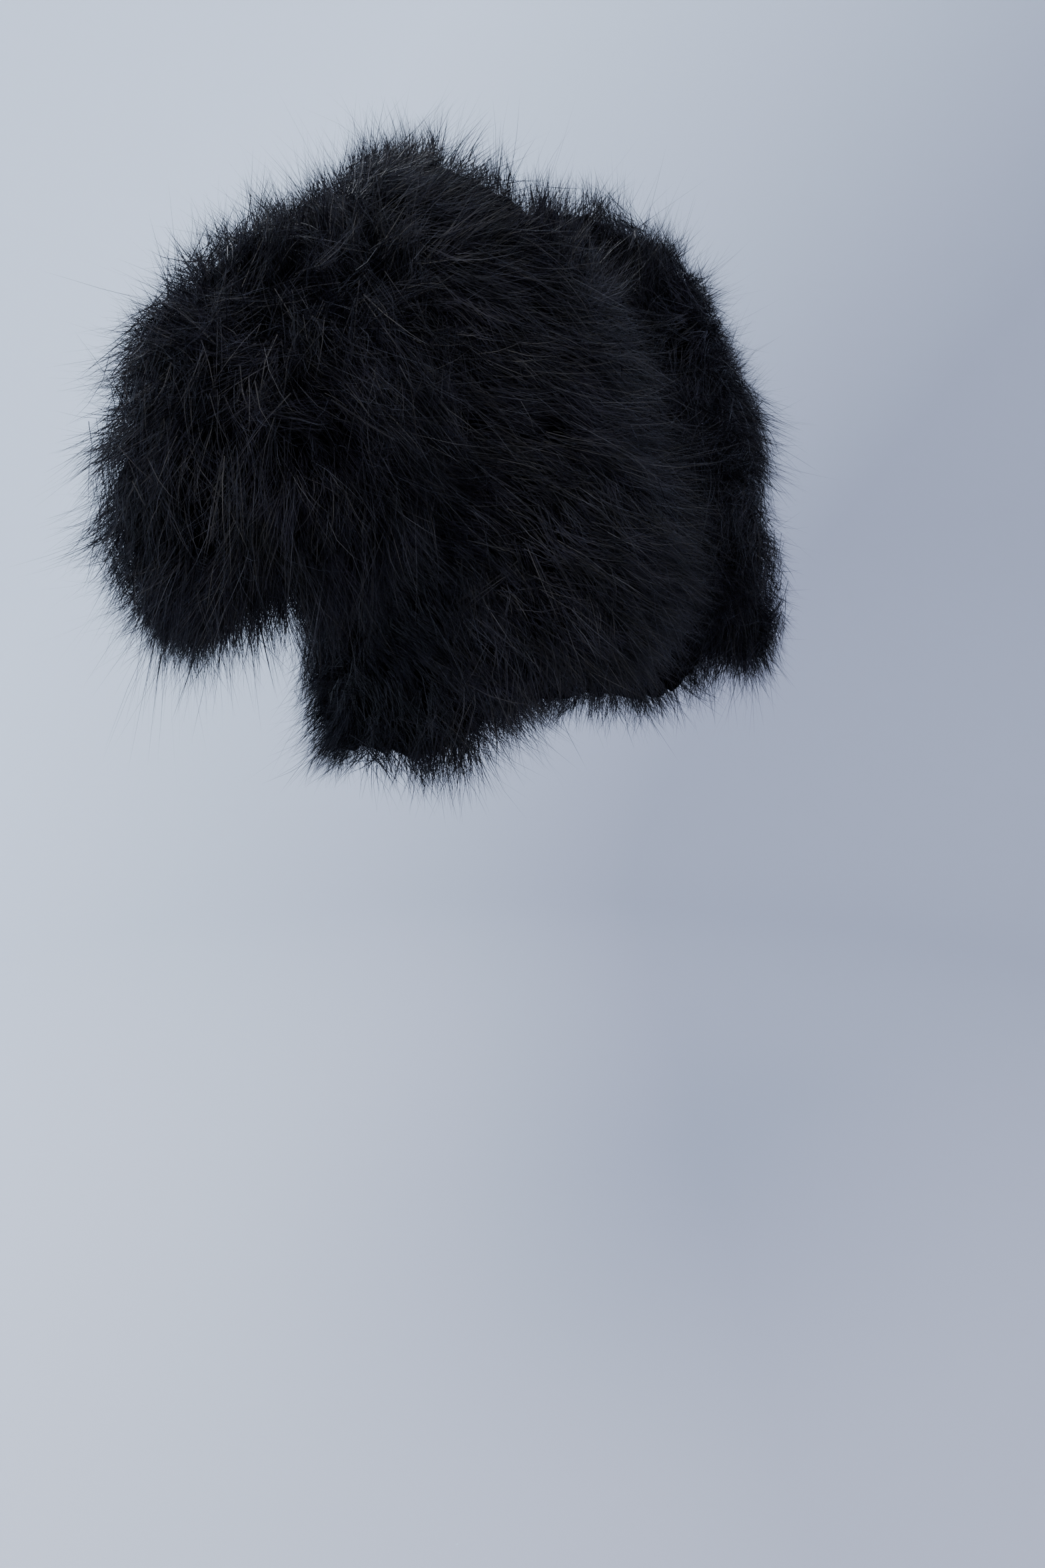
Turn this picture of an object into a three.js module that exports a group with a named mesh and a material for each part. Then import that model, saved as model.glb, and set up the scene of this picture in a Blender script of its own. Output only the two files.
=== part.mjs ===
// Open short-sleeved bolero of marabou feather rows sewn on a base cloth, in its worn shape.
// Millimetres, +Z up. The fronts face -Y and the wearer's left is +X. The origin is the middle of
// the back neckline, on the inside of the cloth, where the wearer's nape carries it.
import * as THREE from "three";

const { clamp, degToRad, lerp, smoothstep } = THREE.MathUtils;

// Thicknesses and gaps
const clothThickness = 2;
const seamGap = 0.6;
const sewnGap = 0.3;
const rowGap = 1;
const armholeGap = 2.2;

// How far the marabou stands off the cloth, and how it thins out
const barbLength = 51;
const creaseShare = 0.74;
const valleyShare = 0.8;
const thinnest = 0.8;
const lengthKept = 0.35;
const leastRoom = 0.2;

// The neck and the shoulders
const neckHalfWidth = 72;
const neckBackDepth = 62;
const neckSideZ = -4;
const shoulderTip = { x: 172, z: -42 };
const underarm = { x: 151, z: -172 };
const armholeHalfDepth = 50;
const underarmRise = 0.5;
const yokeRise = 5 / 6;
const neckShare = 0.5;
const hemFan = 0.09;
const edgeRowFrom = 0.8;

// Body sections at even steps from the hem up. Depths are from the torso's centre line, and heights
// are at the side, the centre front and the centre back. From the underarm up the side follows the
// armhole.
const bodySections = [
  { name: "hem", sideX: 141, sideZ: -328, frontY: 143, frontZ: -256, backY: 99, backZ: -330 },
  { name: "underbust", sideX: 140, sideZ: -276, frontY: 138, frontZ: -220, backY: 98, backZ: -272 },
  { name: "bust", sideX: 143, sideZ: -220, frontY: 127, frontZ: -182, backY: 101, backZ: -212 },
  { name: "underarm", sideX: 151, sideZ: -172, frontY: 114, frontZ: -142, backY: 105, backZ: -153 },
  { name: "chest", sideX: 154, sideZ: -140, frontY: 97, frontZ: -100, backY: 100, backZ: -98 },
  { name: "yoke", sideX: 166, sideZ: -75, frontY: 74, frontZ: -54, backY: 86, backZ: -48 },
  { name: "shoulder", sideX: 172, sideZ: -42, frontY: 55, frontZ: -20, backY: 68, backZ: -6 },
];

// At the same sections, edgeX is where the front edge lies, square says how far the front keeps out
// at its corners, over the bust, and fall how fast the cloth drops towards the side.
const bodyShape = [
  { name: "hem", edgeX: 62, square: 3.3, fall: 14 },
  { name: "underbust", edgeX: 53, square: 3.1, fall: 9 },
  { name: "bust", edgeX: 45, square: 2.7, fall: 4 },
  { name: "underarm", edgeX: 42, square: 2.4, fall: 3 },
  { name: "chest", edgeX: 46, square: 2.2, fall: 2.6 },
  { name: "yoke", edgeX: 60, square: 2, fall: 2.4 },
  { name: "shoulder", edgeX: 72, square: 2, fall: 2.2 },
];
const backSquare = 2.1;

// Sleeve sections at even steps from the armhole to the cuff. Each ring runs from its inner point,
// next to the body, across to the outside of the arm, in the direction turn above the horizontal.
// deep is half its depth from front to back, and tilt how far it drops towards the back.
const sleeveSections = [
  { name: "armhole", innerX: 151, innerZ: -172, turn: 80.8, width: 131.7, deep: 50, midY: 0, tilt: 0 },
  { name: "cap", innerX: 156, innerZ: -181, turn: 54, width: 142, deep: 54, midY: 4, tilt: 0.05 },
  { name: "biceps", innerX: 161, innerZ: -191, turn: 22, width: 128, deep: 57, midY: 9, tilt: 0.16 },
  { name: "cuff", innerX: 166, innerZ: -201, turn: -3, width: 114, deep: 57, midY: 14, tilt: 0.3 },
];

// How far the barbs droop from the cloth's normal, in degrees, at even steps from hem to shoulder
const bodyDroop = [
  { name: "hem", degrees: 48 },
  { name: "bust", degrees: 42 },
  { name: "underarm", degrees: 38 },
  { name: "yoke", degrees: 24 },
  { name: "shoulder", degrees: 6 },
];

// The surface that parts the feathers of the body from those of the sleeve and from the arm
const armSide = [
  { z: -380, x: 206 },
  { z: -310, x: 188 },
  { z: -262, x: 168 },
  { z: -208, x: 158 },
  { z: -172, x: 154.4 },
  { z: -42, x: 175.4 },
  { z: 40, x: 188.6 },
];

// How thick the feathers are on the side of the body under the arm
const underArmFill = [
  { z: -370, thick: 46 },
  { z: -310, thick: 36 },
  { z: -262, thick: 16 },
  { z: -208, thick: 5 },
  { z: -172, thick: 1.2 },
  { z: -60, thick: 1.2 },
];

// The two fronts and the back. Below the bust each front hangs free, and as worn its corner lies
// lower than in the table by drop and further forward by swing.
const leftFront = { sign: -1, depth: "frontY", height: "frontZ", drop: 16, swing: 12 };
const rightFront = { sign: -1, depth: "frontY", height: "frontZ", drop: -14, swing: 0 };
const backFace = { sign: 1, depth: "backY", height: "backZ", drop: 0, swing: 0 };
const isFront = (face) => face.sign < 0;
const up = new THREE.Vector3(0, 0, 1);
const seamDirection = new THREE.Vector3(0.16, 0, 0.99).normalize();

const feather = new THREE.MeshStandardMaterial({ color: 0x121318, roughness: 0.85, metalness: 0 });
const baseCloth = new THREE.MeshStandardMaterial({ color: 0x0c0c0f, roughness: 0.7, metalness: 0 });

// A column of a table whose rows lie at even steps, as a smooth curve from 0 to 1
function column(table, name, at) {
  const last = table.length - 1;
  const place = clamp(at, 0, 1) * last;
  const row = Math.min(Math.floor(place), last - 1);
  const t = place - row;
  const [a, b, c, d] = [row - 1, row, row + 1, row + 2].map((k) => table[clamp(k, 0, last)][name]);
  return b + 0.5 * t * (c - a + t * (2 * a - 5 * b + 4 * c - d + t * (3 * (b - c) + d - a)));
}

// A column of a table whose rows have their own heights, straight from row to row
function atHeight(table, name, z) {
  const next = table.findIndex((row) => row.z >= z);
  if (next <= 0) {
    return (next === 0 ? table[0] : table[table.length - 1])[name];
  }
  const low = table[next - 1];
  const high = table[next];
  return lerp(low[name], high[name], (z - low.z) / (high.z - low.z));
}

// The side of the body: the side seam below the underarm, and the armhole's ellipse above it
function sidePoint(face, rise) {
  if (rise <= underarmRise) {
    const z = column(bodySections, "sideZ", rise);
    return new THREE.Vector3(column(bodySections, "sideX", rise), 0, z);
  }
  const round = (Math.PI * (rise - underarmRise)) / (1 - underarmRise);
  const climb = (1 - Math.cos(round)) / 2;
  return new THREE.Vector3(
    lerp(underarm.x, shoulderTip.x, climb),
    face.sign * armholeHalfDepth * Math.sin(round),
    lerp(underarm.z, shoulderTip.z, climb),
  );
}

// The top of a panel: the shoulder seam, and on the back also half of the neckline
function topPoint(face, across) {
  const onSeam = isFront(face) ? across : Math.min(across / neckShare, 1);
  const x = lerp(shoulderTip.x, neckHalfWidth, onSeam);
  const z = lerp(shoulderTip.z, neckSideZ, onSeam) + 5 * Math.sin(Math.PI * onSeam);
  if (isFront(face) || across <= neckShare) {
    return new THREE.Vector3(x, 0, z);
  }
  const round = ((across - neckShare) / (1 - neckShare)) * (Math.PI / 2);
  return new THREE.Vector3(
    neckHalfWidth * Math.cos(round),
    neckBackDepth * Math.sin(round),
    lerp(neckSideZ, 0, Math.sin(round)),
  );
}

// The inside of the body's cloth on the wearer's left. across goes from the side (0) to the front
// edge or the middle of the back (1), and rise from the hem (0) to the shoulder seam and neck (1).
function bodyPoint(face, across, rise) {
  const side = sidePoint(face, rise);
  const depth = column(bodySections, face.depth, rise);
  const square = isFront(face) ? column(bodyShape, "square", rise) : backSquare;
  const armholeTurn = Math.abs(side.y) / depth;
  const halfWidth = side.x / (1 - armholeTurn ** square) ** (1 / square);
  const edgeX = isFront(face) ? column(bodyShape, "edgeX", rise) : 0;
  const first = Math.asin(armholeTurn ** (square / 2));
  const angle = lerp(first, Math.acos((edgeX / halfWidth) ** (square / 2)), across);
  const x = halfWidth * Math.cos(angle) ** (2 / square);
  const middleZ = column(bodySections, face.height, rise);
  const z = lerp(side.z, middleZ, 1 - (x / side.x) ** column(bodyShape, "fall", rise));
  const ring = new THREE.Vector3(x, face.sign * depth * Math.sin(angle) ** (2 / square), z);
  const free = smoothstep(across, 0.25, 1) * clamp(1 - rise / underarmRise, 0, 1) ** 1.3;
  ring.y -= face.swing * free;
  ring.z -= face.drop * free;
  const overShoulder = smoothstep(rise, yokeRise, 1);
  const tip = topPoint(face, 0);
  const backToArmhole = side.clone().sub(tip).multiplyScalar(overShoulder * (1 - across) ** 2);
  return ring.lerp(topPoint(face, across), overShoulder).add(backToArmhole);
}

// Unit vectors of a surface at one of its points: along its two directions, and out of it
function surfaceFrame(surface, a, b, outSign) {
  const step = 1e-3;
  const difference = (from, to) => surface(...to).sub(surface(...from)).normalize();
  const lowA = Math.max(a - step, surface.lowA);
  const highA = Math.min(a + step, surface.highA);
  const alongA = difference([lowA, b], [highA, b]);
  const alongB = difference([a, Math.max(b - step, 0)], [a, Math.min(b + step, 1)]);
  const out = new THREE.Vector3().crossVectors(alongA, alongB).normalize().multiplyScalar(outSign);
  return { point: surface(a, b), alongA, alongB, out };
}

function bodySurface(face) {
  const surface = (across, rise) => bodyPoint(face, across, rise);
  surface.lowA = 0;
  surface.highA = 1;
  return surface;
}

const surfaces = new Map([leftFront, rightFront, backFace].map((face) => [face, bodySurface(face)]));

// How far a place at the top of a panel is on the shoulder seam (1) rather than on the neckline (0)
function seamPart(face, across) {
  return isFront(face) ? 1 : 1 - smoothstep(across, neckShare - 0.08, neckShare + 0.12);
}

// The body's frame, with the normals of both faces turned to one direction at the shoulder seam and
// square to the middle of the back
function bodyFrame(face, across, rise) {
  const frame = surfaceFrame(surfaces.get(face), across, rise, face.sign);
  if (face === backFace && across > 0.999) {
    frame.out.setX(0).normalize();
  }
  frame.out.lerp(seamDirection, smoothstep(rise, 0.9, 1) * seamPart(face, across)).normalize();
  return frame;
}

// Where the sleeve starts: the outer edge of the body's cloth round the armhole. round is 0 at the
// shoulder tip and pi at the underarm, positive on the front.
function armholeEdge(round) {
  const face = round >= 0 ? leftFront : backFace;
  const rise = lerp(1, underarmRise, Math.abs(round) / Math.PI);
  const frame = bodyFrame(face, 0, rise);
  return frame.point.addScaledVector(frame.out, clothThickness).add(new THREE.Vector3(seamGap, 0, 0));
}

function sleeveRing(round, along) {
  const turn = degToRad(column(sleeveSections, "turn", along));
  const radius = column(sleeveSections, "width", along) / 2;
  const outward = new THREE.Vector3(Math.cos(turn), 0, Math.sin(turn));
  const forward = column(sleeveSections, "deep", along) * Math.sin(round);
  const point = new THREE.Vector3(
    column(sleeveSections, "innerX", along),
    column(sleeveSections, "midY", along) - forward,
    column(sleeveSections, "innerZ", along) + column(sleeveSections, "tilt", along) * forward,
  );
  return point.addScaledVector(outward, radius * (1 + Math.cos(round)));
}

// The outside of the left sleeve's cloth. along goes from the armhole (0) to the cuff (1).
function sleevePoint(round, along) {
  const turned = Math.atan2(Math.sin(round), Math.cos(round));
  const toSeam = armholeEdge(turned).sub(sleeveRing(turned, 0));
  return sleeveRing(turned, along).addScaledVector(toSeam, (1 - along) ** 2);
}
sleevePoint.lowA = -Infinity;
sleevePoint.highA = Infinity;

// The direction out of the armhole's edge in its own plane, which cloth and feathers share there
function armholeDirection(round) {
  const turn = degToRad(sleeveSections[0].turn);
  const radius = sleeveSections[0].width / 2;
  return new THREE.Vector3(
    (Math.cos(turn) * Math.cos(round)) / radius,
    -Math.sin(round) / armholeHalfDepth,
    (Math.sin(turn) * Math.cos(round)) / radius,
  ).normalize();
}

function sleeveFrame(round, along) {
  const frame = surfaceFrame(sleevePoint, round, along, 1);
  frame.out.lerp(armholeDirection(round), (1 - along) ** 8).normalize();
  return frame;
}

// The uneven fullness of feathers, from -1 to 1
function tuft(a, b) {
  const wide = 0.5 * Math.sin(a + 1.7 * Math.sin(0.6 * b));
  return wide + 0.3 * Math.sin(2.3 * a + b) + 0.2 * Math.cos(3.1 * b - a);
}

// Down along a surface: nothing where it lies level
const downAlong = (out) => out.clone().multiplyScalar(out.z).sub(up);

// A tip held back from a limit in x that lies towards one side, so that neighbours keep their
// order. The barb is pressed flat against it, and loses part of its length.
function pressed(root, tip, limit, towards) {
  const room = Math.max((limit - root.x) * towards, leastRoom);
  const reach = (tip.x - root.x) * towards;
  if (reach <= 0) {
    return tip;
  }
  const share = (room / reach) * Math.tanh(reach / room);
  const kept = lerp(share, 1, lengthKept);
  const barb = tip.sub(root).multiply(new THREE.Vector3(share, kept, kept));
  return barb.add(root);
}

// One bundle of barbs on the body: where its root lies on the cloth, and where its tip is
function bodyBarb(face, across, rise, crest) {
  const frame = bodyFrame(face, across, rise);
  const root = frame.point.clone().addScaledVector(frame.out, clothThickness + sewnGap);
  const hem = clamp(1 - rise / hemFan, 0, 1) ** 1.4;
  const droop = degToRad(lerp(column(bodyDroop, "degrees", rise), 89, hem));
  const onEdge = isFront(face) ? clamp((across - edgeRowFrom) / (1 - edgeRowFrom), 0, 1) : 0;
  const onNeck = smoothstep(rise, 0.86, 1) * (1 - seamPart(face, across));
  const lean = degToRad(isFront(face) ? lerp(5, 88, onEdge ** 0.85) : 88 * onNeck);
  const nearNeck = isFront(face) ? smoothstep(rise, 0.66, 0.94) : 1;
  const overEdge = frame.alongA.clone().lerp(up, nearNeck).normalize();
  const direction = frame.out
    .clone()
    .multiplyScalar(Math.cos(droop) * Math.cos(lean))
    .addScaledVector(downAlong(frame.out), Math.sin(droop))
    .addScaledVector(overEdge, Math.sin(lean))
    .normalize();
  direction.lerp(seamDirection, smoothstep(rise, 0.84, 1) * seamPart(face, across)).normalize();
  let crease = 0;
  if (rise > underarmRise) {
    const round = Math.PI * (1 - (rise - underarmRise) / (1 - underarmRise));
    const toArmhole = frame.point.distanceTo(sidePoint(face, rise));
    const clearOfUnderarm = smoothstep(rise, 0.54, 0.66);
    crease = Math.exp(-toArmhole / 26) * clearOfUnderarm;
    direction.lerp(armholeDirection(-face.sign * round), crease).normalize();
  }
  const fill = atHeight(underArmFill, "thick", frame.point.z);
  const armReach = lerp(88, 46, smoothstep(rise, underarmRise - 0.08, underarmRise + 0.06));
  const overShoulder = smoothstep(rise, 0.7, 0.86);
  const clearOfArm = lerp(smoothstep(Math.abs(frame.point.y), 12, armReach), 1, overShoulder);
  const full = barbLength * crest * lerp(1, creaseShare, crease) + 3 * tuft(9 * across, 14 * rise);
  const tip = root.clone().addScaledVector(direction, Math.max(lerp(fill, full, clearOfArm), thinnest));
  const side = Math.min(atHeight(armSide, "x", tip.z), atHeight(armSide, "x", root.z));
  pressed(root, tip, side - armholeGap, 1);
  if (isFront(face)) {
    tip.x = Math.max(tip.x, rowGap / 2);
  }
  return { root, tip };
}

// One bundle of barbs on the left sleeve
function sleeveBarb(round, along, crest) {
  const frame = sleeveFrame(round, along);
  const root = frame.point.clone().addScaledVector(frame.out, sewnGap);
  const cuff = clamp((along - 0.8) / 0.2, 0, 1) ** 1.6;
  const droop = degToRad(lerp(10 + 22 * along, 89, cuff));
  const direction = frame.out.clone().multiplyScalar(Math.cos(droop));
  direction.addScaledVector(downAlong(frame.out), Math.sin(droop)).normalize();
  const seam = (1 - along) ** 3;
  direction.lerp(armholeDirection(round), seam).normalize();
  const nearBody = smoothstep(Math.abs(Math.atan2(Math.sin(round), Math.cos(round))), 1.75, 2.7);
  const full = barbLength * crest * lerp(1, creaseShare, seam) + 3 * tuft(3 * round, 7 * along);
  const flattened = lerp(thinnest, lerp(6, 34, cuff), along);
  const tip = root.clone().addScaledVector(direction, lerp(full, flattened, nearBody));
  const side = Math.max(atHeight(armSide, "x", tip.z), atHeight(armSide, "x", root.z));
  return { root, tip: pressed(root, tip, side + armholeGap, -1) };
}

// A closed solid between two grids of points of the same size. Each grid is a list of lines, and a
// closed grid's lines run all the way round. The faces at both ends of a grid are parted along the
// same diagonals, so that neighbours with shared ends lie flat on each other.
function solidBetween(inner, outer, closed) {
  const lines = inner.length;
  const length = inner[0].length;
  const points = [...inner.flat(), ...outer.flat()];
  const index = (layer, i, j) => layer * lines * length + i * length + (j % length);
  const triangles = [];
  const quad = (a, b, c, d) => triangles.push(a, b, c, a, c, d);
  const steps = closed ? length : length - 1;
  for (let j = 0; j < steps; j += 1) {
    for (let i = 0; i < lines - 1; i += 1) {
      quad(index(1, i, j), index(1, i, j + 1), index(1, i + 1, j + 1), index(1, i + 1, j));
      quad(index(0, i, j), index(0, i + 1, j), index(0, i + 1, j + 1), index(0, i, j + 1));
    }
    quad(index(0, 0, j), index(0, 0, j + 1), index(1, 0, j + 1), index(1, 0, j));
    const [low, high] = [index(0, lines - 1, j), index(1, lines - 1, j)];
    quad(low, high, index(1, lines - 1, j + 1), index(0, lines - 1, j + 1));
  }
  if (!closed) {
    for (let i = 0; i < lines - 1; i += 1) {
      quad(index(0, i, 0), index(1, i, 0), index(1, i + 1, 0), index(0, i + 1, 0));
      const [low, high] = [index(0, i, length - 1), index(1, i, length - 1)];
      quad(low, index(0, i + 1, length - 1), index(1, i + 1, length - 1), high);
    }
  }
  const geometry = new THREE.BufferGeometry().setFromPoints(points);
  geometry.setIndex(triangles);
  return geometry;
}

// Six times the volume that a geometry's triangles enclose, negative where they face inward
function signedVolume(geometry) {
  const at = geometry.getAttribute("position");
  const corner = (k) => new THREE.Vector3().fromBufferAttribute(at, geometry.index.getX(k));
  let sum = 0;
  for (let k = 0; k < geometry.index.count; k += 3) {
    sum += corner(k).dot(corner(k + 1).cross(corner(k + 2)));
  }
  return sum;
}

function facingOut(geometry) {
  if (signedVolume(geometry) < 0) {
    const order = geometry.index.array;
    for (let k = 0; k < order.length; k += 3) {
      [order[k + 1], order[k + 2]] = [order[k + 2], order[k + 1]];
    }
  }
  geometry.computeVertexNormals();
  return geometry;
}

const garment = new THREE.Group();
garment.position.y = -neckBackDepth;

function addPiece(name, inner, outer, closed, material) {
  const mesh = new THREE.Mesh(facingOut(solidBetween(inner, outer, closed)), material.clone());
  mesh.name = name;
  garment.add(mesh);
}

// Even steps from one value to another, the end included
function steps(from, to, count) {
  return Array.from({ length: count + 1 }, (_, k) => lerp(from, to, k / count));
}

// The same points on the wearer's right
const mirrored = (grid) => grid.map((line) => line.map((p) => new THREE.Vector3(-p.x, p.y, p.z)));

// A piece on each side of the wearer. pairsOn gives the left side's lines of inner and outer points.
function addBothSides(name, pairsOn, closed, material) {
  const [inner, outer] = layers(pairsOn(leftFront));
  addPiece(`left_${name}`, inner, outer, closed, material);
  const onRight = layers(pairsOn(rightFront)).map(mirrored);
  addPiece(`right_${name}`, ...onRight, closed, material);
}

// A point of the back from the wearer's right side (-1) to the left side (1)
function onBack(make, whole) {
  const made = make(1 - Math.abs(whole));
  if (whole < 0) {
    made.forEach((p) => p.setX(-p.x));
  }
  return made;
}

// How full a row is from one side (0) to the other (1), with a valley at each side that it shares
function crestOf(share, lowValley, highValley) {
  const low = lowValley ? Math.sin(Math.min(share, 0.5) * Math.PI) : 1;
  const high = highValley ? Math.sin(Math.min(1 - share, 0.5) * Math.PI) : 1;
  return lerp(valleyShare, 1, Math.min(low, high));
}

// Moves the ends of a list of places inward by a share of the surface
const trimmed = (places, low, high) =>
  places.map((place, k) => place + (k === 0 ? low : 0) - (k === places.length - 1 ? high : 0));

// The places of all the rows of a table as one list, each shared place once
const joined = (rows) => rows.flatMap((row, k) => (k === 0 ? row.places : row.places.slice(1)));

// Rows of feathers stop a little short of the underarm, on the body and on the sleeve
const besideUnderarm = (rise) => 0.05 * Math.exp(-(((rise - underarmRise) / 0.07) ** 2));
const belowUnderarm = (round) => 0.16 * smoothstep(Math.abs(round), 2.3, 3.1);

const layers = (pairs) => [0, 1].map((k) => pairs.map((line) => line.map((pair) => pair[k])));
const rootAndTip = (barb) => [barb.root, barb.tip];

// Half of a gap between neighbours, as a share of a panel that is about this long
const panelLength = 100;
const seamShare = seamGap / 2 / panelLength;
const gapShare = rowGap / 2 / panelLength;
const sleeveInnerLength = 40;
const sleeveGapShare = rowGap / 2 / sleeveInnerLength;

// The rows of feathers: on the fronts side by side from the side seam to the front edge, on the back
// one above the other from the hem to the neck, and on the sleeves rings from armhole to cuff
const frontRows = [
  { name: "front_row_side", places: steps(0, 0.4, 4), low: false, high: true },
  { name: "front_row_middle", places: steps(0.4, edgeRowFrom, 4), low: true, high: true },
  { name: "front_row_edge", places: steps(edgeRowFrom, 1, 5), low: true, high: false },
];
const backRows = [
  { name: "back_row_hem", places: [0, 0.02, 0.045, 0.09, 0.18, 0.3], low: false, high: true },
  { name: "back_row_lower", places: steps(0.3, 0.58, 4), low: true, high: true },
  { name: "back_row_upper", places: steps(0.58, 0.86, 4), low: true, high: true },
  { name: "back_row_neck", places: steps(0.86, 1, 4), low: true, high: false },
];
const sleeveRows = [
  { name: "sleeve_row_cap", places: [0, 0.1, 0.22, 0.36, 0.5], low: false, high: true },
  { name: "sleeve_row_cuff", places: [0.5, 0.62, 0.74, 0.86, 0.95, 1], low: true, high: false },
];
const frontRises = [0, 0.02, 0.045, 0.09, ...steps(0.16, 1, 11)];
const backAcross = steps(-1, 1, 26);
const sleeveTurns = 24;
const rounds = Array.from({ length: sleeveTurns }, (_, k) => (2 * Math.PI * k) / sleeveTurns - Math.PI);

// The base cloth: two fronts, the back and two sleeves
function bodyCloth(face, across, rise) {
  const frame = bodyFrame(face, across, rise);
  return [frame.point, frame.point.clone().addScaledVector(frame.out, clothThickness)];
}

function addFrontCloth() {
  const across = trimmed(joined(frontRows), seamShare, 0);
  const rises = trimmed(frontRises, 0, seamShare);
  const pairsOn = (face) => rises.map((rise) => across.map((a) => bodyCloth(face, a, rise)));
  addBothSides("front", pairsOn, false, baseCloth);
}

function addBackCloth() {
  const across = trimmed(backAcross, seamShare, seamShare);
  const rises = trimmed(joined(backRows), 0, seamShare);
  const pairs = rises.map((rise) =>
    across.map((whole) => onBack((a) => bodyCloth(backFace, a, rise), whole)),
  );
  addPiece("back", ...layers(pairs), false, baseCloth);
}

function addSleeveCloth() {
  const pairs = joined(sleeveRows).map((along) =>
    rounds.map((round) => {
      const frame = sleeveFrame(round, along);
      return [frame.point.clone().addScaledVector(frame.out, -clothThickness), frame.point];
    }),
  );
  addBothSides("sleeve", () => pairs, true, baseCloth);
}

// The feather rows
function addFrontRow(row) {
  const last = row.places.length - 1;
  const across = trimmed(row.places, gapShare, row.high ? gapShare : 0);
  const rises = trimmed(frontRises, 0, gapShare);
  const barb = (face, rise, a, k) => {
    const crest = crestOf(k / last, row.low, row.high);
    const place = Math.max(a, besideUnderarm(rise) + 0.02 * a);
    return rootAndTip(bodyBarb(face, place, rise, crest));
  };
  const pairsOn = (face) => rises.map((rise) => across.map((a, k) => barb(face, rise, a, k)));
  addBothSides(row.name, pairsOn, false, feather);
}

function addBackRow(row) {
  const last = row.places.length - 1;
  const across = trimmed(backAcross, gapShare, gapShare);
  const rises = trimmed(row.places, row.low ? gapShare : 0, gapShare);
  const pairs = rises.map((rise, k) => {
    const crest = crestOf(k / last, row.low, row.high);
    const least = besideUnderarm(rise);
    const barb = (a) => rootAndTip(bodyBarb(backFace, Math.max(a, least), rise, crest));
    return across.map((whole) => onBack(barb, whole));
  });
  addPiece(row.name, ...layers(pairs), false, feather);
}

function addSleeveRow(row) {
  const last = row.places.length - 1;
  const alongs = trimmed(row.places, row.low ? sleeveGapShare : 0, row.high ? sleeveGapShare : 0);
  const pairs = alongs.map((along, k) => {
    const crest = crestOf(k / last, row.low, row.high);
    return rounds.map((round) => {
      const moved = row.low ? 0 : belowUnderarm(round) * (1 - 2 * along);
      return rootAndTip(sleeveBarb(round, lerp(along, 1, moved), crest));
    });
  });
  addBothSides(row.name, () => pairs, true, feather);
}

addFrontCloth();
addBackCloth();
addSleeveCloth();
frontRows.forEach(addFrontRow);
backRows.forEach(addBackRow);
sleeveRows.forEach(addSleeveRow);

export default garment;
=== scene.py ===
"""Looks of an open short-sleeved bolero of black marabou rows sewn on a base cloth.

Lengths are millimetres in the garment's own frame, whose z axis is the middle of the torso, until a
piece is made: then they are metres in the shared frame.
"""
import math
from collections import namedtuple

import bmesh
import bpy
import numpy as np
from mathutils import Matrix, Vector


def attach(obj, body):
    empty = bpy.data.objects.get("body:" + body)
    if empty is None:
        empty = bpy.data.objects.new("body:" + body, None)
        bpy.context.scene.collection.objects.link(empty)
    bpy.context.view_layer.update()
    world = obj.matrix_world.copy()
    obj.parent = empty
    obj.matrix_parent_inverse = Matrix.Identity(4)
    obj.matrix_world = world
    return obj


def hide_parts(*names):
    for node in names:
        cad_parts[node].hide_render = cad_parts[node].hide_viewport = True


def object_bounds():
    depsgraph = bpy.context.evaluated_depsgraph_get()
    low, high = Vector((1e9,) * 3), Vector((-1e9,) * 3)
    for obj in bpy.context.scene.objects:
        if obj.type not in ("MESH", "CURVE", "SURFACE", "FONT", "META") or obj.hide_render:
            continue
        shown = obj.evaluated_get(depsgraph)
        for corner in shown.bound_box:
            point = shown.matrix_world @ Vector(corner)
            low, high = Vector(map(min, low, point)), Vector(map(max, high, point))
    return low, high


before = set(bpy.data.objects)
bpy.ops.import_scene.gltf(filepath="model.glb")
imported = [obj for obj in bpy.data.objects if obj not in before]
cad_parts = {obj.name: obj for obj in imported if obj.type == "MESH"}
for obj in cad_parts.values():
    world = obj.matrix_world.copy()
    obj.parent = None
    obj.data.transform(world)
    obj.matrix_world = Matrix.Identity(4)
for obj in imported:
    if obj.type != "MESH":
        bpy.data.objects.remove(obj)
cad_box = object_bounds()

MM = 0.001
TAU = 2 * math.pi

# The cut of the garment, the same values as the solids
CLOTH_THICKNESS = 2
SEAM_GAP = 0.6
SEWN_GAP = 0.3
ROW_GAP = 1
ARMHOLE_GAP = 2.2
BARB_LENGTH = 51
CREASE_SHARE = 0.74
VALLEY_SHARE = 0.8
THINNEST = 0.8
LENGTH_KEPT = 0.35
LEAST_ROOM = 0.2
NECK_HALF_WIDTH = 72
NECK_BACK_DEPTH = 62
NECK_SIDE_Z = -4
SHOULDER_TIP = (172, -42)
UNDERARM = (151, -172)
ARMHOLE_HALF_DEPTH = 50
UNDERARM_RISE = 0.5
YOKE_RISE = 5 / 6
NECK_SHARE = 0.5
HEM_FAN = 0.09
EDGE_ROW_FROM = 0.8
BACK_SQUARE = 2.1

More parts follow.
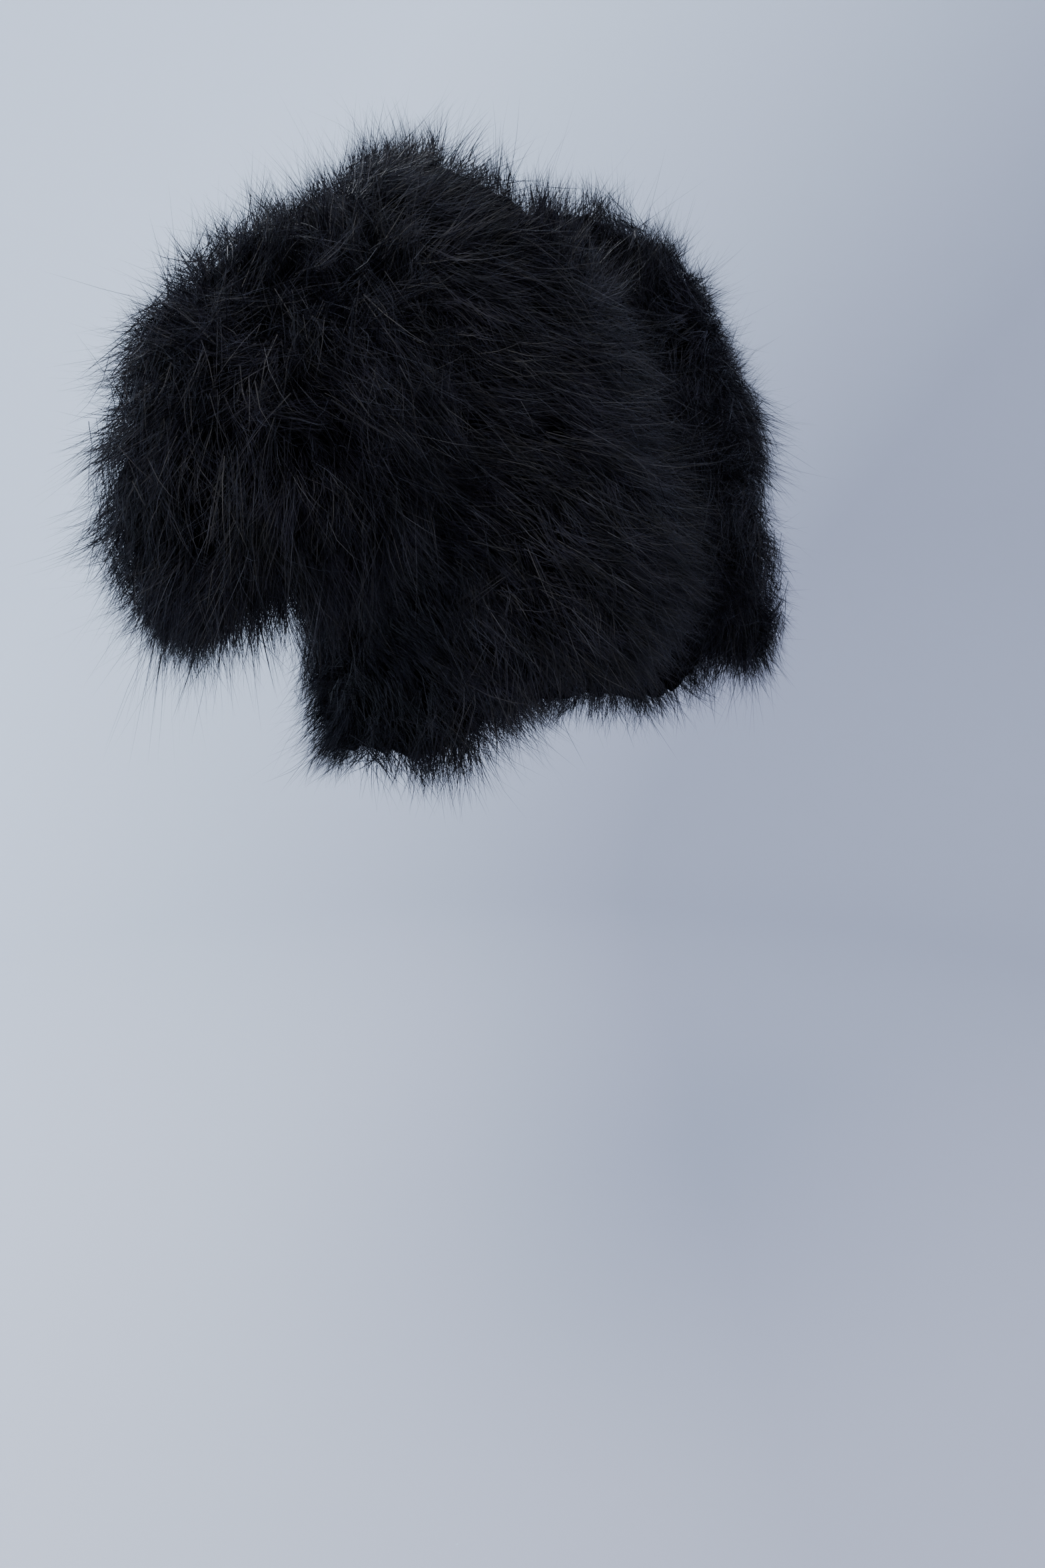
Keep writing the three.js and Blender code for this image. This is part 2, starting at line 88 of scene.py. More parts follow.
# Columns of the body's sections, at even steps from the hem to the shoulder
BODY = {
    "side_x": (141, 140, 143, 151, 154, 166, 172),
    "side_z": (-328, -276, -220, -172, -140, -75, -42),
    "front_y": (143, 138, 127, 114, 97, 74, 55),
    "front_z": (-256, -220, -182, -142, -100, -54, -20),
    "back_y": (99, 98, 101, 105, 100, 86, 68),
    "back_z": (-330, -272, -212, -153, -98, -48, -6),
    "edge_x": (62, 53, 45, 42, 46, 60, 72),
    "square": (3.3, 3.1, 2.7, 2.4, 2.2, 2, 2),
    "fall": (14, 9, 4, 3, 2.6, 2.4, 2.2),
    "droop": (48, 42, 38, 24, 6),
}

# Columns of the sleeve's sections, at even steps from the armhole to the cuff
SLEEVE = {
    "inner_x": (151, 156, 161, 166),
    "inner_z": (-172, -181, -191, -201),
    "turn": (80.8, 54, 22, -3),
    "width": (131.7, 142, 128, 114),
    "deep": (50, 54, 57, 57),
    "mid_y": (0, 4, 9, 14),
    "tilt": (0, 0.05, 0.16, 0.3),
}

# What parts the feathers of the body from the arm, and how thick they are under it, by height
ARM_SIDE_Z = (-380, -310, -262, -208, -172, -42, 40)
ARM_SIDE_X = (206, 188, 168, 158, 154.4, 175.4, 188.6)
FILL_Z = (-370, -310, -262, -208, -172, -60)
FILL_THICK = (46, 36, 16, 5, 1.2, 1.2)

# The back and the two fronts, which hang free below the bust: how much lower and further forward
# their corners lie than in the columns
Face = namedtuple("Face", "sign name drop swing")
LEFT_FRONT = Face(-1, "front", 16, 12)
RIGHT_FRONT = Face(-1, "front", -14, 0)
BACK = Face(1, "back", 0, 0)

UP = np.array([0.0, 0.0, 1.0])
SEAM_DIRECTION = np.array([0.16, 0.0, 0.99]) / math.hypot(0.16, 0.99)


def lerp(a, b, t):
    return a + (b - a) * t


def smoothstep(value, low, high):
    t = np.clip((value - low) / (high - low), 0, 1)
    return t * t * (3 - 2 * t)


def unit(v):
    return v / np.maximum(np.linalg.norm(v, axis=-1, keepdims=True), 1e-9)


def each(factor):
    """A number for each point, ready to scale its vector."""
    return np.asarray(factor)[..., None]


def column(values, at):
    """A column whose values lie at even steps, as a smooth curve from 0 to 1."""
    values = np.asarray(values, float)
    last = len(values) - 1
    place = np.clip(at, 0, 1) * last
    row = np.minimum(place.astype(int), last - 1)
    t = place - row
    a, b, c, d = (values[np.clip(row + k, 0, last)] for k in (-1, 0, 1, 2))
    return b + 0.5 * t * (c - a + t * (2 * a - 5 * b + 4 * c - d + t * (3 * (b - c) + d - a)))


def side_point(face, rise):
    turn = math.pi * np.clip((rise - UNDERARM_RISE) / (1 - UNDERARM_RISE), 0, 1)
    climb = (1 - np.cos(turn)) / 2
    above = rise > UNDERARM_RISE
    x = np.where(above, lerp(UNDERARM[0], SHOULDER_TIP[0], climb), column(BODY["side_x"], rise))
    z = np.where(above, lerp(UNDERARM[1], SHOULDER_TIP[1], climb), column(BODY["side_z"], rise))
    return np.stack([x, face.sign * ARMHOLE_HALF_DEPTH * np.sin(turn), z], -1)


def top_point(face, across):
    on_seam = across if face.sign < 0 else np.minimum(across / NECK_SHARE, 1)
    round_neck = np.clip((across - NECK_SHARE) / (1 - NECK_SHARE), 0, 1) * math.pi / 2
    if face.sign < 0:
        round_neck = 0 * across
    x = lerp(SHOULDER_TIP[0], NECK_HALF_WIDTH, on_seam)
    x = np.where(round_neck > 0, NECK_HALF_WIDTH * np.cos(round_neck), x)
    z = lerp(SHOULDER_TIP[1], NECK_SIDE_Z, on_seam) + 5 * np.sin(math.pi * on_seam)
    z = np.where(round_neck > 0, lerp(NECK_SIDE_Z, 0, np.sin(round_neck)), z)
    return np.stack([x, NECK_BACK_DEPTH * np.sin(round_neck), z], -1)


def body_point(face, across, rise):
    """The inside of the body's cloth."""
    side = side_point(face, rise)
    depth = column(BODY[face.name + "_y"], rise)
    square = column(BODY["square"], rise) if face.sign < 0 else BACK_SQUARE + 0 * rise
    armhole_turn = np.abs(side[..., 1]) / depth
    half_width = side[..., 0] / (1 - armhole_turn**square) ** (1 / square)
    edge_x = column(BODY["edge_x"], rise) if face.sign < 0 else 0 * rise
    first = np.arcsin(armhole_turn ** (square / 2))
    angle = lerp(first, np.arccos((edge_x / half_width) ** (square / 2)), across)
    x = half_width * np.maximum(np.cos(angle), 0) ** (2 / square)
    fall = 1 - (x / side[..., 0]) ** column(BODY["fall"], rise)
    z = lerp(side[..., 2], column(BODY[face.name + "_z"], rise), fall)
    y = face.sign * depth * np.maximum(np.sin(angle), 0) ** (2 / square)
    free = smoothstep(across, 0.25, 1) * np.clip(1 - rise / UNDERARM_RISE, 0, 1) ** 1.3
    ring = np.stack([x, y - face.swing * free, z - face.drop * free], -1)
    over = smoothstep(rise, YOKE_RISE, 1)
    back_to_armhole = (side - top_point(face, 0 * across)) * each(over * (1 - across) ** 2)
    return lerp(ring, top_point(face, across), each(over)) + back_to_armhole


def surface_frame(surface, a, b, low_a, high_a, out_sign):
    step = 1e-3
    along_a = unit(surface(np.minimum(a + step, high_a), b) - surface(np.maximum(a - step, low_a), b))
    along_b = unit(surface(a, np.minimum(b + step, 1)) - surface(a, np.maximum(b - step, 0)))
    return surface(a, b), along_a, along_b, out_sign * unit(np.cross(along_a, along_b))


def seam_part(face, across):
    if face.sign < 0:
        return 1 + 0 * across
    return 1 - smoothstep(across, NECK_SHARE - 0.08, NECK_SHARE + 0.12)


def body_frame(face, across, rise):
    point, along_a, along_b, out = surface_frame(
        lambda a, b: body_point(face, a, b), across, rise, 0, 1, face.sign
    )
    if face is BACK:
        out[..., 0] = np.where(across > 0.999, 0, out[..., 0])
    turned = smoothstep(rise, 0.9, 1) * seam_part(face, across)
    return point, along_a, unit(lerp(out, SEAM_DIRECTION, each(turned)))


def armhole_edge(turn):
    rise = lerp(1, UNDERARM_RISE, np.abs(turn) / math.pi)
    front, _, front_out = body_frame(LEFT_FRONT, 0 * turn, rise)
    back, _, back_out = body_frame(BACK, 0 * turn, rise)
    point = np.where(each(turn >= 0), front, back)
    out = np.where(each(turn >= 0), front_out, back_out)
    return point + out * CLOTH_THICKNESS + np.array([SEAM_GAP, 0, 0])


def sleeve_ring(turn, along):
    lift = np.radians(column(SLEEVE["turn"], along))
    radius = column(SLEEVE["width"], along) / 2
    forward = column(SLEEVE["deep"], along) * np.sin(turn)
    low = column(SLEEVE["inner_z"], along) + column(SLEEVE["tilt"], along) * forward
    point = np.stack([column(SLEEVE["inner_x"], along), column(SLEEVE["mid_y"], along) - forward, low], -1)
    outward = np.stack([np.cos(lift), 0 * lift, np.sin(lift)], -1)
    return point + outward * each(radius * (1 + np.cos(turn)))


def sleeve_point(turn, along):
    turned = np.arctan2(np.sin(turn), np.cos(turn))
    to_seam = armhole_edge(turned) - sleeve_ring(turned, 0 * along)
    return sleeve_ring(turned, along) + to_seam * each((1 - along) ** 2)


def armhole_direction(turn):
    lift = math.radians(SLEEVE["turn"][0])
    radius = SLEEVE["width"][0] / 2
    return unit(np.stack([
        math.cos(lift) * np.cos(turn) / radius,
        -np.sin(turn) / ARMHOLE_HALF_DEPTH,
        math.sin(lift) * np.cos(turn) / radius,
    ], -1))


def sleeve_frame(turn, along):
    point, along_a, along_b, out = surface_frame(sleeve_point, turn, along, -9, 9, 1)
    out = unit(lerp(out, armhole_direction(turn), each((1 - along) ** 8)))
    return point, along_a, out


def down_along(out):
    return out * out[..., 2:3] - UP


def pressed(root, tip, limit, towards):
    """A tip held back from a limit in x, with part of its length lost."""
    room = np.maximum((limit - root[..., 0]) * towards, LEAST_ROOM)
    reach = np.maximum((tip[..., 0] - root[..., 0]) * towards, 1e-6)
    share = room / reach * np.tanh(reach / room)
    kept = lerp(share, 1, LENGTH_KEPT)
    held = root + (tip - root) * np.stack([share, kept, kept], -1)
    return np.where(each(tip[..., 0] * towards > root[..., 0] * towards), held, tip)


def body_barb(face, across, rise, crest):
    """Where a bundle of barbs on the body is rooted, where it ends, and the cloth's directions there."""
    front = face.sign < 0
    point, along_a, out = body_frame(face, across, rise)
    root = point + out * (CLOTH_THICKNESS + SEWN_GAP)
    hem = np.clip(1 - rise / HEM_FAN, 0, 1) ** 1.4
    droop = np.radians(lerp(column(BODY["droop"], rise), 89, hem))
    on_edge = np.clip((across - EDGE_ROW_FROM) / (1 - EDGE_ROW_FROM), 0, 1) if front else 0 * across
    on_neck = smoothstep(rise, 0.86, 1) * (1 - seam_part(face, across))
    lean = np.radians(lerp(5, 88, on_edge**0.85) if front else 88 * on_neck)
    near_neck = smoothstep(rise, 0.66, 0.94) if front else 1 + 0 * rise
    over_edge = unit(lerp(along_a, UP, each(near_neck)))
    direction = unit(
        out * each(np.cos(droop) * np.cos(lean))
        + down_along(out) * each(np.sin(droop))
        + over_edge * each(np.sin(lean))
    )
    at_seam = smoothstep(rise, 0.84, 1) * seam_part(face, across)
    direction = unit(lerp(direction, SEAM_DIRECTION, each(at_seam)))
    turn = math.pi * (1 - np.clip((rise - UNDERARM_RISE) / (1 - UNDERARM_RISE), 0, 1))
    to_armhole = np.linalg.norm(point - side_point(face, rise), axis=-1)
    crease = np.exp(-to_armhole / 26) * smoothstep(rise, 0.54, 0.66)
    direction = unit(lerp(direction, armhole_direction(-face.sign * turn), each(crease)))
    fill = np.interp(point[..., 2], FILL_Z, FILL_THICK)
    arm_reach = lerp(88, 46, smoothstep(rise, UNDERARM_RISE - 0.08, UNDERARM_RISE + 0.06))
    over_shoulder = smoothstep(rise, 0.7, 0.86)
    clear_of_arm = lerp(smoothstep(np.abs(point[..., 1]), 12, arm_reach), 1, over_shoulder)
    full = BARB_LENGTH * crest * lerp(1, CREASE_SHARE, crease)
    tip = root + direction * each(np.maximum(lerp(fill, full, clear_of_arm), THINNEST))
    limit = np.minimum(*(np.interp(p[..., 2], ARM_SIDE_Z, ARM_SIDE_X) for p in (tip, root)))
    tip = pressed(root, tip, limit - ARMHOLE_GAP, 1)
    if front:
        tip[..., 0] = np.maximum(tip[..., 0], ROW_GAP / 2)
    return root, tip, out, along_a


def sleeve_barb(turn, along, crest):
    point, along_a, out = sleeve_frame(turn, along)
    root = point + out * SEWN_GAP
    cuff = np.clip((along - 0.8) / 0.2, 0, 1) ** 1.6
    droop = np.radians(lerp(10 + 22 * along, 89, cuff))
    direction = unit(out * each(np.cos(droop)) + down_along(out) * each(np.sin(droop)))
    seam = (1 - along) ** 3
    direction = unit(lerp(direction, armhole_direction(turn), each(seam)))
    near_body = smoothstep(np.abs(np.arctan2(np.sin(turn), np.cos(turn))), 1.75, 2.7)
    full = BARB_LENGTH * crest * lerp(1, CREASE_SHARE, seam)
    flattened = lerp(THINNEST, lerp(6, 34, cuff), along)
    tip = root + direction * each(lerp(full, flattened, near_body))
    limit = np.maximum(*(np.interp(p[..., 2], ARM_SIDE_Z, ARM_SIDE_X) for p in (tip, root)))
    return root, pressed(root, tip, limit + ARMHOLE_GAP, -1), out, along_a


def crest_of(share, low_valley, high_valley):
    low = np.sin(np.minimum(share, 0.5) * math.pi) if low_valley else 1 + 0 * share
    high = np.sin(np.minimum(1 - share, 0.5) * math.pi) if high_valley else 1 + 0 * share
    return lerp(VALLEY_SHARE, 1, np.minimum(low, high))


def beside_underarm(rise):
    return 0.05 * np.exp(-(((rise - UNDERARM_RISE) / 0.07) ** 2))


# Grids of barbs for each row: roots, tips, the cloth's normal and the direction across it.
# On the outer top of the sleeves the barbs lie flatter by this share, and on the outer side they
# stand out more.
FLATTER_CAP = 0.34
FLATTER_SIDE = -0.12
RISES = np.concatenate([np.linspace(0, HEM_FAN, 7)[:-1], np.linspace(HEM_FAN, 1, 34)])


def front_grid(face, low, high, low_valley, high_valley):
    share, rise = np.meshgrid(np.linspace(0, 1, 15), RISES)
    across = np.maximum(lerp(low, high, share), 1.02 * beside_underarm(rise))
    return body_barb(face, across, rise, crest_of(share, low_valley, high_valley))


def back_grid(face, low, high, low_valley, high_valley):
    share, whole = np.meshgrid(np.linspace(0, 1, 15), np.linspace(-1, 1, 61))
    rise = lerp(low, high, share)
    across = np.maximum(1 - np.abs(whole), beside_underarm(rise))
    made = body_barb(face, across, rise, crest_of(share, low_valley, high_valley))
    for grid in made:
        grid[..., 0] *= np.where(whole < 0, -1, 1)
    return made


def sleeve_grid(_, low, high, low_valley, high_valley):
    share, turn = np.meshgrid(np.linspace(0, 1, 15), np.linspace(-math.pi, math.pi, 57))
    along = lerp(low, high, share)
    if not low_valley:
        below = 0.16 * smoothstep(np.abs(turn), 2.3, 3.1)
        along = lerp(along, 1, below * (1 - 2 * along))
    root, tip, out, across = sleeve_barb(turn, along, crest_of(share, low_valley, high_valley))
    flatter = lerp(FLATTER_SIDE, FLATTER_CAP, smoothstep(out[..., 2], 0, 0.7))
    flatter = flatter * smoothstep(root[..., 0], 168, 205)
    return root, lerp(tip, root, each(flatter)), out, across


def placed(points):
    """Points of the garment's frame in the shared frame, in metres."""
    return (points - np.array([0, NECK_BACK_DEPTH, 0])) * MM


def mesh_object(name, points, quads, triangles, materials, smooth=True, triangle_material=0):
    """A mesh object made from whole arrays of points and faces."""
    mesh = bpy.data.meshes.new(name)
    mesh.vertices.add(len(points))
    mesh.vertices.foreach_set("co", np.ascontiguousarray(points, np.float32).ravel())
    corners = np.concatenate([quads.ravel(), triangles.ravel()]).astype(np.int32)
    sizes = np.concatenate([np.full(len(quads), 4), np.full(len(triangles), 3)]).astype(np.int32)
    mesh.loops.add(len(corners))
    mesh.loops.foreach_set("vertex_index", corners)
    mesh.polygons.add(len(sizes))
    mesh.polygons.foreach_set("loop_start", np.concatenate([[0], np.cumsum(sizes)[:-1]]).astype(np.int32))
    mesh.polygons.foreach_set("loop_total", sizes)
    mesh.polygons.foreach_set("use_smooth", np.full(len(sizes), smooth))
    for material in materials:
        mesh.materials.append(material)
    mesh.update(calc_edges=True)
    made = bpy.data.objects.new(name, mesh)
    bpy.context.scene.collection.objects.link(made)
    return made


# Materials
def node_material(name):
    material = bpy.data.materials.new(name)
    material.use_nodes = True
    return material, material.node_tree.nodes, material.node_tree.links


def noise(nodes, links, place, scale, detail=3.0, distortion=0.0):
    made = nodes.new("ShaderNodeTexNoise")
    made.inputs["Scale"].default_value = scale
    made.inputs["Detail"].default_value = detail
    made.inputs["Distortion"].default_value = distortion
    links.new(place.outputs["Object"], made.inputs["Vector"])
    return made


def ramp(nodes, links, factor, low_at, low, high_at, high):
    made = nodes.new("ShaderNodeValToRGB")
    first, last = made.color_ramp.elements
    first.position, first.color = low_at, (*low, 1)
    last.position, last.color = high_at, (*high, 1)
    links.new(factor, made.inputs["Fac"])
    return made


def marabou_material(name, low, high, roughness, gloss, sheen):
    """Black down with a blue-grey cast that shifts from plume to plume and along the barbs."""
    material, nodes, links = node_material(name)
    shader = nodes["Principled BSDF"]
    place = nodes.new("ShaderNodeTexCoord")
    broad = noise(nodes, links, place, 34.0, 2.0, 0.6)
    fine = noise(nodes, links, place, 420.0, 3.0, 0.3)
    both = nodes.new("ShaderNodeMath")
    both.operation = "MULTIPLY_ADD"
    both.inputs[1].default_value = 0.5
    links.new(broad.outputs["Fac"], both.inputs[0])
    half = nodes.new("ShaderNodeMath")
    half.operation = "MULTIPLY"
    half.inputs[1].default_value = 0.5
    links.new(fine.outputs["Fac"], half.inputs[0])
    links.new(half.outputs[0], both.inputs[2])
    tone = ramp(nodes, links, both.outputs[0], 0.38, low, 0.68, high)
    links.new(tone.outputs["Color"], shader.inputs["Base Color"])
    rough = nodes.new("ShaderNodeMapRange")
    rough.inputs["To Min"].default_value = roughness - 0.1
    rough.inputs["To Max"].default_value = roughness + 0.12
    links.new(fine.outputs["Fac"], rough.inputs["Value"])
    links.new(rough.outputs["Result"], shader.inputs["Roughness"])
    shader.inputs["Specular IOR Level"].default_value = gloss
    shader.inputs["Sheen Weight"].default_value = sheen
    shader.inputs["Sheen Roughness"].default_value = 0.45
    shader.inputs["Sheen Tint"].default_value = (0.55, 0.6, 0.78, 1)
    return material


CLOTH_DARK = (0.0022, 0.0022, 0.0028)
CLOTH_PALE = (0.006, 0.006, 0.0072)


def cloth_material():
    """Matt black plain-woven cotton with a fine thread relief."""
    material, nodes, links = node_material("base_cloth_weave")
    shader = nodes["Principled BSDF"]
    place = nodes.new("ShaderNodeTexCoord")
    cloudy = noise(nodes, links, place, 60.0, 4.0)
    tone = ramp(nodes, links, cloudy.outputs["Fac"], 0.3, CLOTH_DARK, 0.7, CLOTH_PALE)
    links.new(tone.outputs["Color"], shader.inputs["Base Color"])
    threads = []
    for direction in ("X", "Z"):
        wave = nodes.new("ShaderNodeTexWave")
        wave.bands_direction = direction
        wave.inputs["Scale"].default_value = 520.0
        wave.inputs["Distortion"].default_value = 0.6
        links.new(place.outputs["Object"], wave.inputs["Vector"])
        threads.append(wave)
    woven = nodes.new("ShaderNodeMath")
    woven.operation = "MAXIMUM"
    links.new(threads[0].outputs["Fac"], woven.inputs[0])
    links.new(threads[1].outputs["Fac"], woven.inputs[1])
    bump = nodes.new("ShaderNodeBump")
    bump.inputs["Strength"].default_value = 0.35
    bump.inputs["Distance"].default_value = 0.0004
    links.new(woven.outputs[0], bump.inputs["Height"])
    links.new(bump.outputs["Normal"], shader.inputs["Normal"])
    shader.inputs["Roughness"].default_value = 0.88
    shader.inputs["Specular IOR Level"].default_value = 0.12
    return material


BARBS = marabou_material(
    "marabou_barbs", (0.0005, 0.0004, 0.0007), (0.0068, 0.0057, 0.01), 0.46, 0.12, 0.02
)
WISPS = marabou_material("marabou_wisps", (0.006, 0.006, 0.008), (0.026, 0.026, 0.034), 0.5, 0.2, 0.1)
# The pile's tone is partly the dense down's own black and partly painted shade: near-black, far darker
# than the barbs, for the shade deep among them
PILE_PAINTED_SHADE = marabou_material("marabou_pile", (0.0003, 0.0003, 0.0004), (0.0009, 0.0009, 0.0013), 0.9, 0.01, 0.0)
CLOTH = cloth_material()

# The down: locks of barbs that start within it and end at its surface. Heights are shares of the way
# from the cloth to that surface, and pairs of them are for barbs on the cloth and over a free edge.
BARB_BUDGET = 176000
BARBS_PER_LOCK = 16
FRINGE_FULLNESS = 2.4
TIPS_SHARE = 0.7
ROOTS_SHARE = 0.3
LOCK_RADIUS = 2.7
LOCK_UNEVEN = 0.12
LOCK_CURL = 0.2
WISPY_LOCK_SHARE = 0.06
WISPY_LOCK_BEYOND = 0.16
DRIFT_WAVES = (38, 61, 97)
DRIFT_TURN = 0.5
DRIFT_LENGTH = 0.08

# Each barb: where it leaves the down, how long it is, how it curls and how wide it is
LEAVES_FROM = (0.2, 0.08)
LEAVES_TO = (0.8, 0.74)
BARB_SHORTEST = 24
BARB_LONGEST = 46
SHORT_DOWN = (7, 1.1)
UPRIGHT_LENGTHS = (0.85, 1.25, 3)
UPRIGHT_CLIMB = 0.985
STEEPEST_CLIMB = 0.96
SCATTER_OVER_EDGE = 0.9
SPREAD = 0.13
SPREAD_OVER_EDGE = 0.5
CURL = 0.09
FOLLOWS_FLOW = 0.3
BARB_WIDTH = 0.5
WIDTHS = (0.65, 1.3)
FACING_UNEVEN = 0.55
BEYOND_EDGE = 0.2
SHOULDER_SHORTER = 0.07
SHOULDER_Z = (-90, -30)

# Loose wisps among the barbs: their share, how far beyond the surface they end, and how much more
# they curl and how much thinner they are than the rest
WISP_SHARE = 0.12
WISP_BEYOND = (0.1, 0.45)
WISP_CURL = 2.4
WISP_WIDTH = 0.55

# The dense pile under the barbs' ends
PILE_HEIGHT = 0.58
PILE_BORDER_HEIGHT = 0.46
PILE_OVER_EDGE = 0.13
PILE_OVER_NECKLINE = -0.06
PILE_UNEVEN = 0.1

# How far loose barbs may end outside the solids' box, and the shape of one barb along its length
STANDS_PROUD = np.array([14, 9.5, 11])
SHORTENED = (0.8, 0.6, 0.4)
STATIONS = np.array([0.0, 0.36, 0.7, 1.0])
TAPER = np.array([1.0, 0.86, 0.55, 0.0])


def cell_areas(surface):
    across = surface[1:, :-1] - surface[:-1, :-1]
    along = surface[:-1, 1:] - surface[:-1, :-1]
    return np.linalg.norm(np.cross(across, along), axis=-1)


def fringe_of(root, tip, out):
    """How far barbs hang over a free edge (1) rather than stand on the cloth (0)."""
    return 1 - smoothstep((unit(tip - root) * out).sum(-1), 0.1, 0.6)


def fullness(grids):
    """How many barbs each cell of the grids takes: more where they hang over a free edge."""
    fringe = fringe_of(*grids[:3])[1:, 1:]
    area = TIPS_SHARE * cell_areas(grids[1]) + ROOTS_SHARE * cell_areas(grids[0])
    return area * (1 + FRINGE_FULLNESS * fringe)


def picked(grids, rng, count):
    """Values of the grids at random places, spread evenly over the tips' surface."""
    weight = fullness(grids).ravel()
    cell = rng.choice(len(weight), count, p=weight / weight.sum())
    i, j = np.unravel_index(cell, [n - 1 for n in grids[0].shape[:2]])
    u, v = rng.random((2, count, 1))
    return [
        (g[i, j] * (1 - u) + g[i + 1, j] * u) * (1 - v) + (g[i, j + 1] * (1 - u) + g[i + 1, j + 1] * u) * v
        for g in grids
    ]


def barb_points(start, heading, bend, length, width, facing):
    """Ribbons of three faces that taper to a point, as an array of barbs by seven corners."""
    s = STATIONS[None, :, None]
    line = start[:, None] + length[:, None, None] * (heading[:, None] * s + bend[:, None] * s * s)
    side = unit(np.cross(heading, facing))[:, None] * (width[:, None, None] * TAPER[None, :, None] / 2)
    pairs = np.stack([line - side, line + side], 2)[:, :3].reshape(len(start), 6, 3)
    return np.concatenate([pairs, line[:, 3:]], 1)


def within_reach(points):
    low, high = (np.array(corner) / MM + np.array([0, NECK_BACK_DEPTH, 0]) for corner in cad_box)
    return ((points >= low - STANDS_PROUD) & (points <= high + STANDS_PROUD)).all(axis=(1, 2))


def drift(points, rng):
    """A slow random change of direction from place to place."""
    changed = np.zeros((len(points), 3))
    for wavelength in DRIFT_WAVES:
        across = unit(rng.normal(0, 1, (3, 3))) * TAU / wavelength
        changed += np.sin(points @ across.T + rng.uniform(0, TAU, 3))
    return changed / len(DRIFT_WAVES)


def lock_barbs(grids, rng, count, flow, sway):
    """The barbs of a row in locks, and which of them are loose wisps."""
    locks = max(count // BARBS_PER_LOCK, 1)
    root, tip, out, along = picked(grids, rng, locks)
    turned = drift(root, rng)
    lie = unit(flow(root, out, along) + DRIFT_TURN * turned + rng.normal(0, sway, (locks, 3)))
    full = rng.normal(1, LOCK_UNEVEN, locks)
    full = full + WISPY_LOCK_BEYOND * (rng.random(locks) < WISPY_LOCK_SHARE) + DRIFT_LENGTH * turned[:, 0]
    scatter = rng.normal(0, LOCK_RADIUS, (locks, BARBS_PER_LOCK, 3)).reshape(-1, 3)
    curl = rng.normal(0, LOCK_CURL, (locks, 3))
    owner = np.repeat(np.arange(locks), BARBS_PER_LOCK)
    root, tip, out, lie, full, curl = (values[owner] for values in (root, tip, out, lie, full, curl))
    return loose_barbs(rng, root, tip, out, lie, full, curl, scatter)


def loose_barbs(rng, root, tip, out, lie, full, curl, scatter):
    """One barb for each place: it leaves the down, lies along the flow and climbs to the surface."""
    many = len(root)
    reach = np.linalg.norm(tip - root, axis=-1)
    axis = unit(tip - root)
    level = lie - axis * (lie * axis).sum(-1, keepdims=True)
    upright = 1 - smoothstep(np.linalg.norm(level, axis=-1), 0.2, 0.6)
    level = unit(level)
    fringe = fringe_of(root, tip, out)
    leaves = rng.uniform(lerp(*LEAVES_FROM, fringe), lerp(*LEAVES_TO, fringe), many)
    wisps = rng.random(many) < WISP_SHARE
    full = full + np.where(wisps, rng.uniform(*WISP_BEYOND, many), BEYOND_EDGE * fringe)
    full = full - SHOULDER_SHORTER * smoothstep(root[:, 2], *SHOULDER_Z)

    left = np.maximum((full - leaves) * reach, 0.5)
    longest = SHORT_DOWN[0] + SHORT_DOWN[1] * reach
    length = np.minimum(rng.uniform(BARB_SHORTEST, BARB_LONGEST, many), longest)
    length = np.maximum(length, left * 1.06)
    shortest_upright, longest_upright, more = UPRIGHT_LENGTHS
    length = lerp(length, left * rng.uniform(shortest_upright, longest_upright, many) + more, upright)
    climb = lerp(np.clip(left / length, 0.03, STEEPEST_CLIMB), UPRIGHT_CLIMB, upright)
    forward = np.sqrt(1 - climb**2)

    spread = rng.normal(0, SPREAD, (many, 3)) * each(1 + SPREAD_OVER_EDGE * fringe)
    heading = unit(level * each(forward) + axis * each(climb) + spread)
    shift = each(length * forward * (1 - upright) * 0.5)
    small = np.minimum(each(reach) / 20, 1)
    scatter = scatter * each(1 + SCATTER_OVER_EDGE * fringe)
    start = root + axis * each(leaves * reach) - level * shift * small + scatter * small
    curl = curl + rng.normal(0, CURL, (many, 3)) * each(np.where(wisps, WISP_CURL, 1))
    bend = (lie - heading) * each(rng.uniform(0, FOLLOWS_FLOW, many)) + curl
    width = BARB_WIDTH * rng.uniform(*WIDTHS, many) * np.where(wisps, WISP_WIDTH, 1)
    facing = unit(out + rng.normal(0, FACING_UNEVEN, (many, 3)))

    points = barb_points(start, heading, bend, length, width, facing)
    for shorter in SHORTENED:
        outside = ~within_reach(points)
        points[outside] = barb_points(
            start[outside], heading[outside], bend[outside], length[outside] * shorter,
            width[outside], facing[outside],
        )
    kept = within_reach(points)
    return points[kept], wisps[kept]


def pile_points(grids, rng):
    """The dense down under the barbs' ends, closed to the cloth all round."""
    root, tip, out = grids[:3]
    lines, length = root.shape[:2]
    inward = [np.minimum(np.arange(n), np.arange(n)[::-1]) for n in (lines, length)]
    border = np.clip(np.minimum(inward[0][:, None] / 2, inward[1][None, :]), 0, 1)
    near_neckline = smoothstep(root[..., 2], *SHOULDER_Z)
    hanging = lerp(PILE_OVER_EDGE, PILE_OVER_NECKLINE, near_neckline) * fringe_of(root, tip, out)
    height = lerp(PILE_BORDER_HEIGHT, PILE_HEIGHT, border) + hanging
    height = height + rng.uniform(-PILE_UNEVEN, PILE_UNEVEN, (lines, length))
    height = np.pad(height, 1)
    root, tip = (np.pad(grid, ((1, 1), (1, 1), (0, 0)), mode="edge") for grid in (root, tip))
    return root + (tip - root) * each(height)


def grid_quads(lines, length, first=0):
    i, j = np.meshgrid(np.arange(lines - 1), np.arange(length - 1), indexing="ij")
    corner = (first + i * length + j).ravel()
    return np.stack([corner, corner + length, corner + length + 1, corner + 1], -1)


